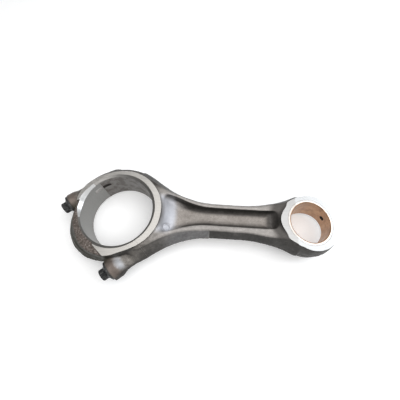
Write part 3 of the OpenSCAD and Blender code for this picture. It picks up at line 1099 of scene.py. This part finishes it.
# ---------------------------------------------------------------- build the pieces
rod = make_rod()
cap = make_cap()
bush = make_bush()
bolt_upper = make_bolt("cap_bolt_upper", 1, 0.1)
bolt_lower = make_bolt("cap_bolt_lower", -1, 0.3)

forged = forged_material("forged_oxide")
thrust = machined_material("thrust_ground", (0.50, 0.482, 0.455), "line", rough=(0.30, 0.42))
# the rod's half of the bore is darker than the cap's: painted shade, with patches of old oil
rod_bore_shaded = machined_material("rod_bore_wall", (0.185, 0.176, 0.167), "bore", 0.7, (0.32, 0.48), stain_and_shade=0.8)
cap_bore = machined_material("cap_bore_wall", (0.262, 0.259, 0.250), "bore", 0.7, (0.34, 0.5))
chamfer = machined_material("turned_chamfer", (0.24, 0.232, 0.22), "ring", rough=(0.25, 0.35))
small_face = machined_material("small_end_milled", (0.43, 0.426, 0.42), "line", 0.7, (0.3, 0.42))
plain = machined_material("machined_plain", (0.50, 0.49, 0.47), "line", 0.8)
ledge = machined_material("milled_relief", (0.66, 0.66, 0.655), "ring", 0.7, (0.30, 0.40), depth=0.15)
# painted shade: the rod's tang slot gets a near-black milled finish for the shade in it, where the cap's is
# light
rod_slot_shade = machined_material("rod_tang_slot", (0.10, 0.092, 0.085), "line", 0.75)
cap_slot = machined_material("cap_tang_slot", (0.46, 0.45, 0.44), "line", 0.75)
bronze = bronze_material("bush_bronze_bored")
black = black_oxide_material("bolt_black_oxide")

paint(rod, [forged, thrust, rod_bore_shaded, chamfer, small_face, plain, ledge, rod_slot_shade], rod_index(rod))
paint(cap, [forged, thrust, cap_bore, chamfer, small_face, plain, ledge, cap_slot], cap_index(cap))
# the bush's oil hole takes the rod slot's near-black finish: painted shade in the hole
paint(bush, [bronze, rod_slot_shade], bush_index(bush))
for bolt in (bolt_upper, bolt_lower):
    paint(bolt, [black], np.zeros(len(bolt.data.polygons)))

# Each piece with its CAD node, its material slot and the angle over which an edge is sharp
pieces = [(rod, "rod_body", "rod_forging", 32), (cap, "rod_cap", "cap_forging", 32),
          (bush, "pin_bush", "bush_bronze", 30), (bolt_upper, "bolt_upper", "bolt_black", 28),
          (bolt_lower, "bolt_lower", "bolt_black", 28)]
for obj, node, slot, sharp in pieces:
    finish_mesh(obj, sharp)
    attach(obj, "root")
    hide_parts(node)

# ---------------------------------------------------------------- floor, light and camera
HALF_FLOOR = 1500
floor_corners = [(x * HALF_FLOOR, y * HALF_FLOOR, FLOOR_Z) for x, y in ((-1, -1), (1, -1), (1, 1), (-1, 1))]
floor = mm("floor", floor_corners, [[0, 1, 2, 3]])
floor.data.materials.append(floor_material())

scene = bpy.context.scene
world = bpy.data.worlds.new("studio")
world.use_nodes = True
background = world.node_tree.nodes["Background"]
background.inputs["Color"].default_value = (1.0, 1.0, 1.0, 1)
background.inputs["Strength"].default_value = 0.29
scene.world = world
scene.view_settings.view_transform = "Standard"
scene.view_settings.look = "None"


def softbox(name, place, aim, size, power, color=(1, 1, 1)):
    """Square area light that faces a point."""
    light = bpy.data.lights.new(name, "AREA")
    light.shape = "SQUARE"
    light.size = size
    light.energy = power
    light.color = color
    obj = bpy.data.objects.new(name, light)
    scene.collection.objects.link(obj)
    obj.location = place
    obj.rotation_euler = (Vector(aim) - Vector(place)).to_track_quat("-Z", "Y").to_euler()


softbox("overhead", (0.26, -0.05, 0.92), (0.12, 0.0, 0.0), 1.35, 11.4)
softbox("right", (1.00, 0.30, 0.52), (0.09, 0.0, 0.0), 0.55, 3.6, (0.88, 0.94, 1.0))

# The camera's place, the way it looks and which way is up in the picture
eye = Vector((0.09552, -0.08159, 0.25744))
look = Vector((-0.04878, 0.37522, -0.92565)).normalized()
right = look.cross(Vector((-0.05840, 0.92410, 0.37767))).normalized()
turn = Matrix((right, right.cross(look), -look)).transposed()
cam_data = bpy.data.cameras.new("camera")
cam = bpy.data.objects.new("camera", cam_data)
scene.collection.objects.link(cam)
cam.matrix_world = Matrix.Translation(eye) @ turn.to_4x4()
cam_data.sensor_width = 36.0
cam_data.lens = 23.186
cam_data.clip_start = 0.005
cam_data.clip_end = 20.0
scene.camera = cam
